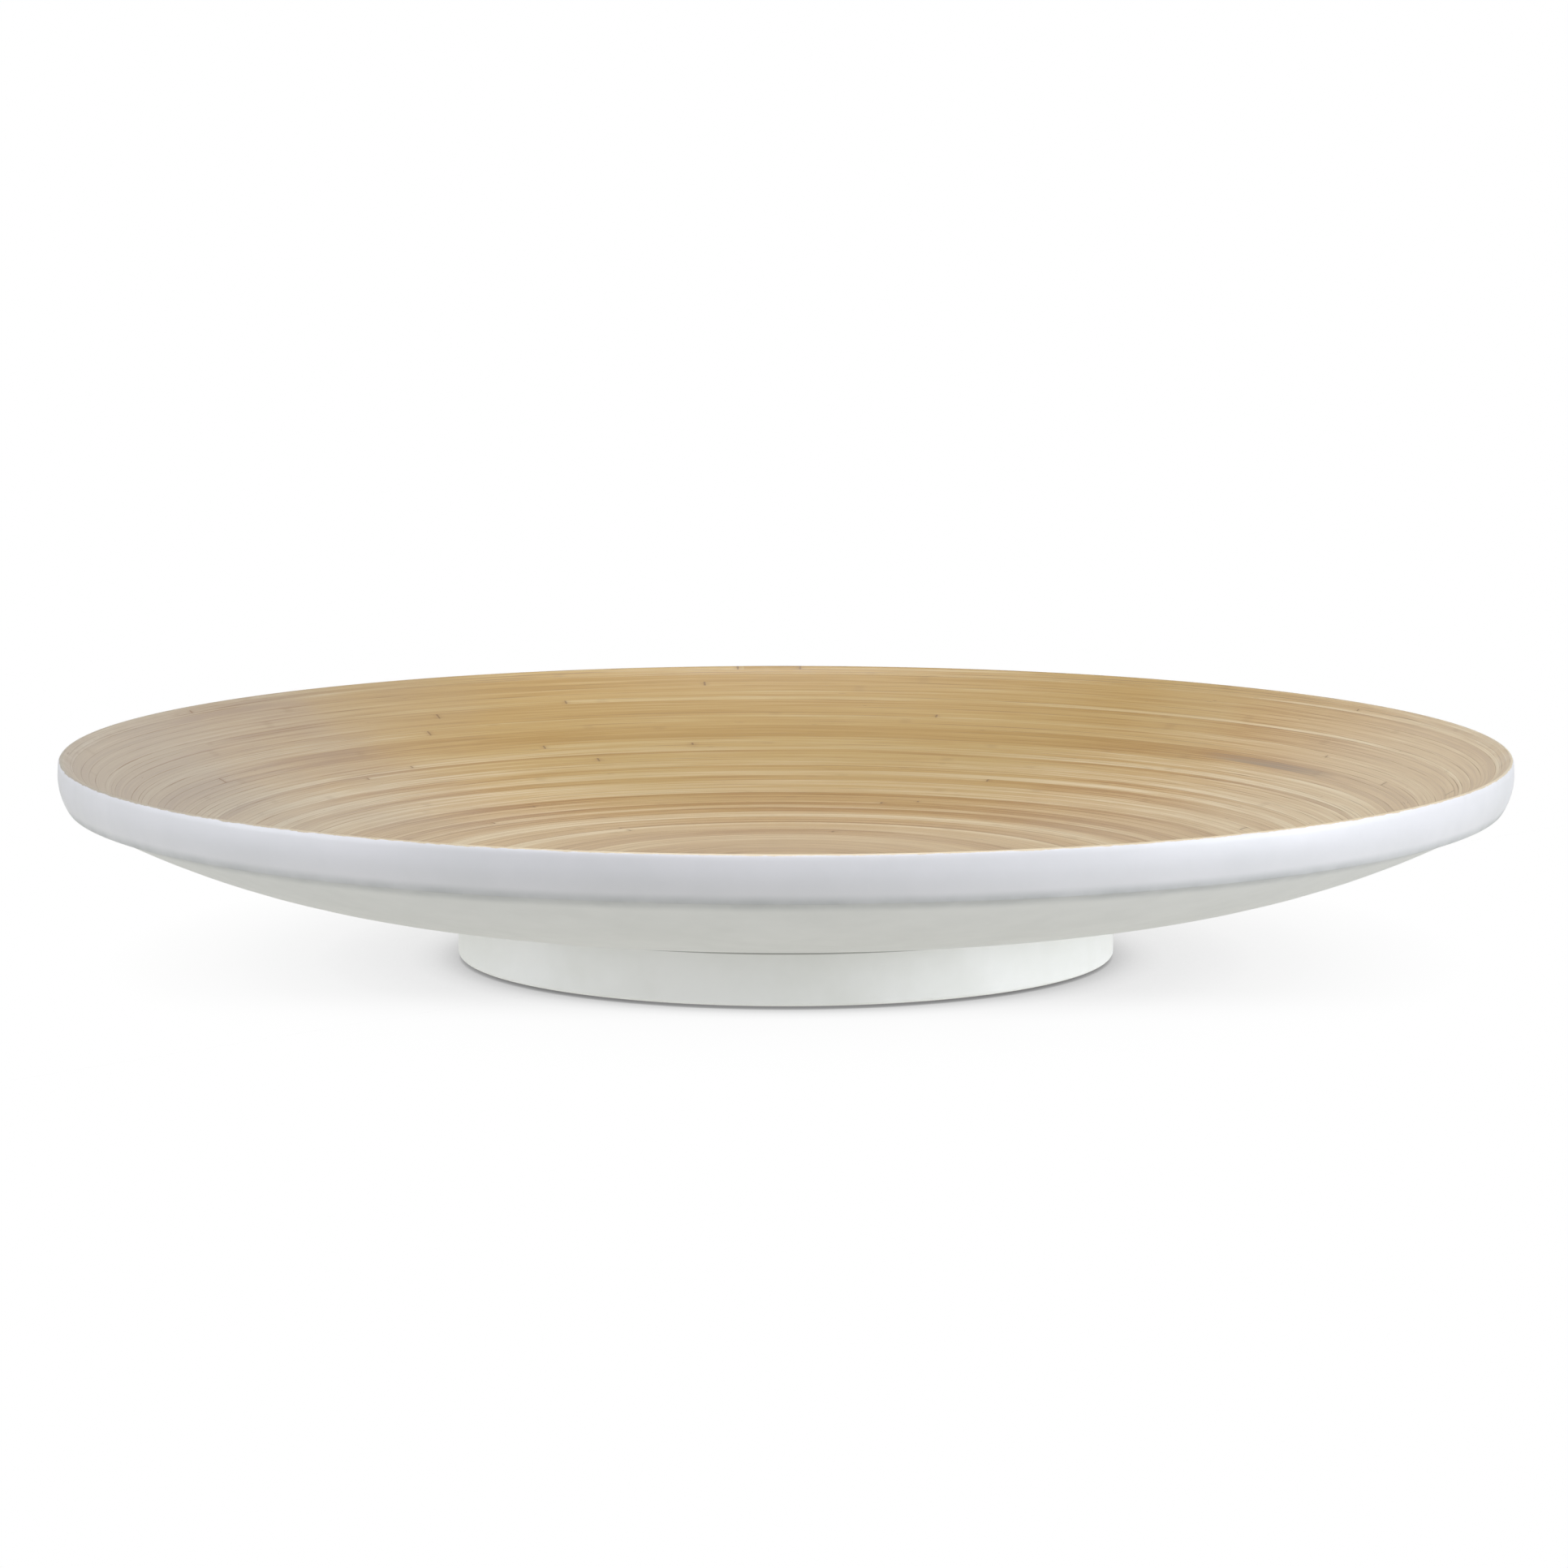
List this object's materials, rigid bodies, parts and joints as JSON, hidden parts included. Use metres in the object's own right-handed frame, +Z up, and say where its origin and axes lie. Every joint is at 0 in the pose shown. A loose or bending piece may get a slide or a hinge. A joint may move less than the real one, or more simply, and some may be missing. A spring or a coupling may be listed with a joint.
{
  "type": "lazy susan turntable",
  "caption": "Shallow coiled-bamboo platter, clear-lacquered inside and white-lacquered outside, that spins freely on a ball bearing in a low round foot.",
  "frame": {"origin": "on the table, on the spin axis, under the centre of the foot", "axes": "+Z up along the spin axis; X and Y lie level and are equal by symmetry"},
  "size_m": [0.355, 0.355, 0.0509],
  "materials": {
    "bamboo": "edge-grain bamboo strip under satin clear lacquer",
    "white_lacquer": "white satin-gloss lacquer over sanded bamboo",
    "plywood": "bare sanded birch plywood",
    "zinc_steel": "zinc-plated stamped steel",
    "ball_steel": "polished bearing steel",
    "screw_steel": "yellow-passivated zinc plate",
    "nylon": "natural moulded nylon",
    "rubber": "matt moulded rubber"
  },
  "bodies": {
    "foot": {"foot_ring": "white_lacquer", "base_disc": "plywood", "lower_bearing_plate": "zinc_steel", "centre_rivet": "zinc_steel", "lower_screw_1": "screw_steel", "lower_screw_2": "screw_steel", "lower_screw_3": "screw_steel", "lower_screw_4": "screw_steel", "rubber_foot_1": "rubber", "rubber_foot_2": "rubber", "rubber_foot_3": "rubber", "rubber_foot_4": "rubber"},
    "platter": {"bamboo_bowl": "bamboo", "rim_band": "white_lacquer", "bearing_pad": "plywood", "upper_bearing_plate": "zinc_steel", "thrust_washer": "nylon", "upper_screw_1": "screw_steel", "upper_screw_2": "screw_steel", "upper_screw_3": "screw_steel", "upper_screw_4": "screw_steel"},
    "ball_ring": {"ball_cage": "nylon", "bearing_ball_01": "ball_steel", "bearing_ball_02": "ball_steel", "bearing_ball_03": "ball_steel", "bearing_ball_04": "ball_steel", "bearing_ball_05": "ball_steel", "bearing_ball_06": "ball_steel", "bearing_ball_07": "ball_steel", "bearing_ball_08": "ball_steel", "bearing_ball_09": "ball_steel", "bearing_ball_10": "ball_steel", "bearing_ball_11": "ball_steel", "bearing_ball_12": "ball_steel", "bearing_ball_13": "ball_steel", "bearing_ball_14": "ball_steel", "bearing_ball_15": "ball_steel", "bearing_ball_16": "ball_steel", "bearing_ball_17": "ball_steel", "bearing_ball_18": "ball_steel"}
  },
  "joints": [
    {"name": "platter_spin", "type": "hinge", "parent": "foot", "child": "platter", "pos_m": [0, 0, 0.0095], "axis": [0, 0, 1], "continuous": true},
    {"name": "ball_ring_spin", "type": "hinge", "parent": "foot", "child": "ball_ring", "pos_m": [0, 0, 0.0095], "axis": [0, 0, 1], "continuous": true}
  ],
  "couplings": [
    {"joint": "ball_ring_spin", "follows": "platter_spin", "ratio": 0.5}
  ]
}
